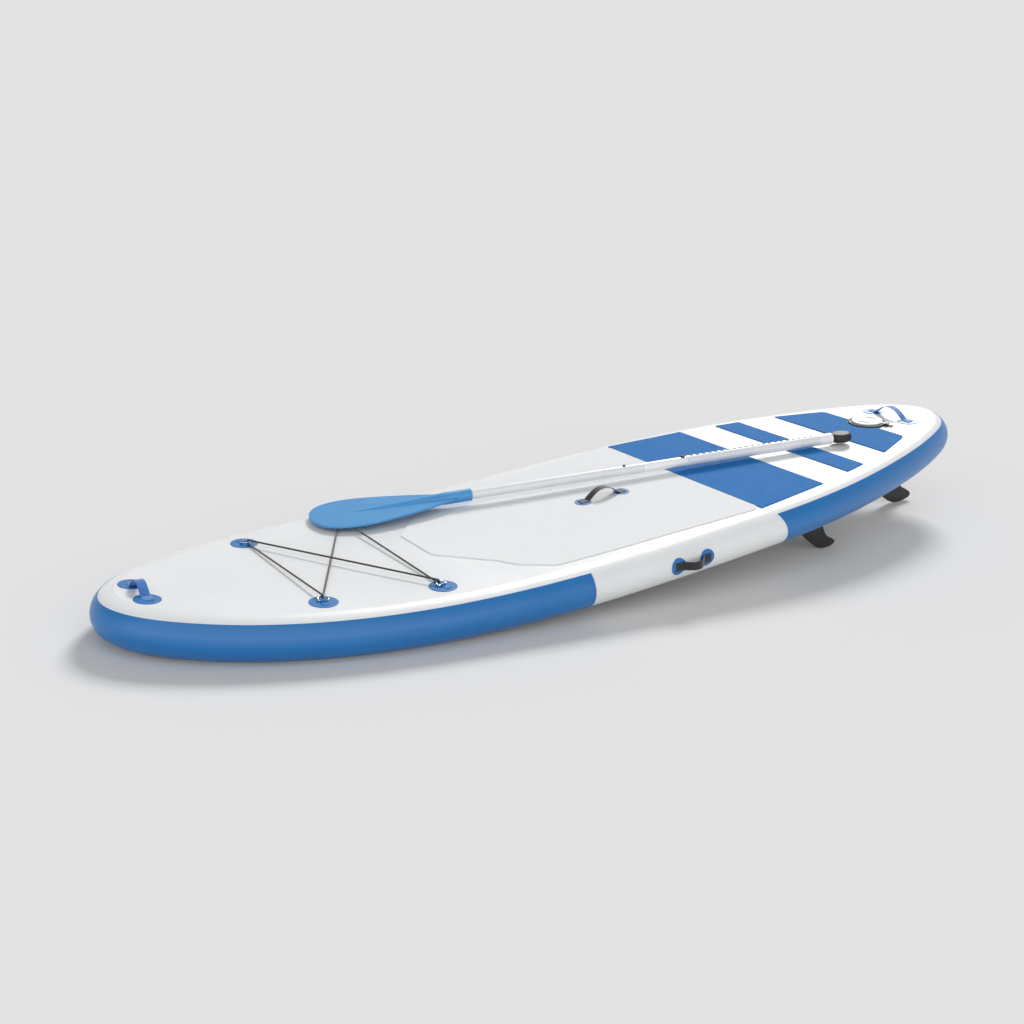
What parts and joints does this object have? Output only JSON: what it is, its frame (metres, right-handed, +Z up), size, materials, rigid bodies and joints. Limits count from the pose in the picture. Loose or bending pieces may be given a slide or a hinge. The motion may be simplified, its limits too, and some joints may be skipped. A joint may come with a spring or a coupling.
{
  "type": "inflatable stand up paddleboard",
  "caption": "White and blue inflatable stand up paddleboard on its fins, with deck pads, carry handles, deck bungee, valve and an adjustable paddle lying on deck.",
  "frame": {"origin": "on the floor, under the middle of the board's length, on its centreline", "axes": "+X toward the nose along the floor, +Y to port (the side with the nearer side handle in the picture), +Z up; the board stands nose down by 6.28 degrees"},
  "size_m": [3.0456, 0.923, 0.3661],
  "materials": {
    "drop_stitch": "matt thread core",
    "white_pvc": "satin",
    "blue_pvc": "satin",
    "white_eva": "matt",
    "blue_eva": "matt, fine grooved",
    "black_cord": "braided",
    "black_plastic": "matt",
    "grey_plastic": "satin",
    "black_rubber": "matt",
    "steel": "polished",
    "blue_plastic": "satin",
    "white_aluminium": "satin paint",
    "bare_aluminium": "anodised",
    "white_plastic": "satin",
    "blue_webbing": "woven",
    "black_webbing": "woven"
  },
  "bodies": {
    "board": {"drop_stitch_core": "drop_stitch", "deck_skin": "white_pvc", "bottom_skin": "white_pvc", "rail_wall_port": "white_pvc", "rail_wall_starboard": "white_pvc", "nose_band_port": "blue_pvc", "nose_band_starboard": "blue_pvc", "tail_band_port": "blue_pvc", "tail_band_starboard": "blue_pvc", "traction_pad": "white_eva", "stripe_front": "blue_eva", "stripe_middle": "blue_eva", "tail_pad": "blue_eva", "nose_handle_strap": "blue_webbing", "nose_handle_patch_port": "blue_pvc", "nose_handle_patch_starboard": "blue_pvc", "tail_handle_strap": "blue_webbing", "tail_handle_patch_port": "blue_pvc", "tail_handle_patch_starboard": "blue_pvc", "centre_handle_strap": "black_webbing", "centre_handle_patches": "blue_pvc", "side_strap_port": "black_webbing", "side_patches_port": "blue_pvc", "side_strap_starboard": "black_webbing", "side_patches_starboard": "blue_pvc", "bungee_patch_front_port": "blue_pvc", "bungee_patch_front_starboard": "blue_pvc", "bungee_patch_rear_port": "blue_pvc", "bungee_patch_rear_starboard": "blue_pvc", "d_ring_front_port": "steel", "d_ring_front_starboard": "steel", "d_ring_rear_port": "steel", "d_ring_rear_starboard": "steel", "bungee_cord": "black_cord", "bungee_crimp": "black_plastic", "valve_ring": "black_plastic", "valve_body": "grey_plastic", "valve_gasket": "black_rubber", "valve_nut": "grey_plastic", "valve_spring": "steel", "valve_cap_strap": "black_rubber", "centre_fin_track": "black_plastic", "side_fin_base_port": "black_plastic", "side_fin_port": "black_plastic", "side_fin_base_starboard": "black_plastic", "side_fin_starboard": "black_plastic"},
    "valve_cap_body": {"valve_cap": "grey_plastic"},
    "valve_stem_body": {"valve_stem": "black_plastic"},
    "centre_fin_body": {"centre_fin": "black_plastic"},
    "paddle": {"paddle_blade": "blue_plastic", "lower_shaft": "white_aluminium", "joint_sleeve": "bare_aluminium", "middle_shaft": "white_aluminium", "length_button_spring": "steel", "joint_button_spring": "steel"},
    "paddle_handle": {"handle_tube": "white_aluminium", "handle_collar": "white_plastic", "palm_grip": "black_plastic"},
    "length_button_body": {"length_button": "black_plastic"},
    "joint_button_body": {"joint_button": "black_plastic"}
  },
  "joints": [
    {"name": "valve_cap_hinge", "type": "hinge", "parent": "board", "child": "valve_cap_body", "pos_m": [-1.20852, 0.06583, 0.32511], "axis": [-0.9216, -0.3746, 0.1014], "range_deg": [0, 150]},
    {"name": "valve_stem_push", "type": "slide", "parent": "board", "child": "valve_stem_body", "axis": [-0.1093, 0, -0.994], "range_m": [0, 0.005], "stiffness_N_per_m": 900, "springref_m": -0.004, "deforming": ["valve_spring"]},
    {"name": "centre_fin_slide", "type": "slide", "parent": "board", "child": "centre_fin_body", "axis": [-0.994, 0, 0.1093], "range_m": [0, 0.19]},
    {"name": "paddle_lift", "type": "slide", "parent": "board", "child": "paddle", "axis": [0.1093, 0, 0.994], "range_m": [0, 0.25]},
    {"name": "handle_extend", "type": "slide", "parent": "paddle", "child": "paddle_handle", "axis": [-0.9694, 0.2249, 0.0979], "range_m": [0, 0.38]},
    {"name": "length_button_press", "type": "slide", "parent": "paddle", "child": "length_button_body", "axis": [-0.1009, -0.002, -0.9949], "range_m": [0, 0.0042], "stiffness_N_per_m": 900, "springref_m": -0.004, "deforming": ["length_button_spring"]},
    {"name": "joint_button_press", "type": "slide", "parent": "paddle", "child": "joint_button_body", "axis": [-0.1009, -0.002, -0.9949], "range_m": [0, 0.004], "stiffness_N_per_m": 900, "springref_m": -0.004, "deforming": ["joint_button_spring"]}
  ]
}
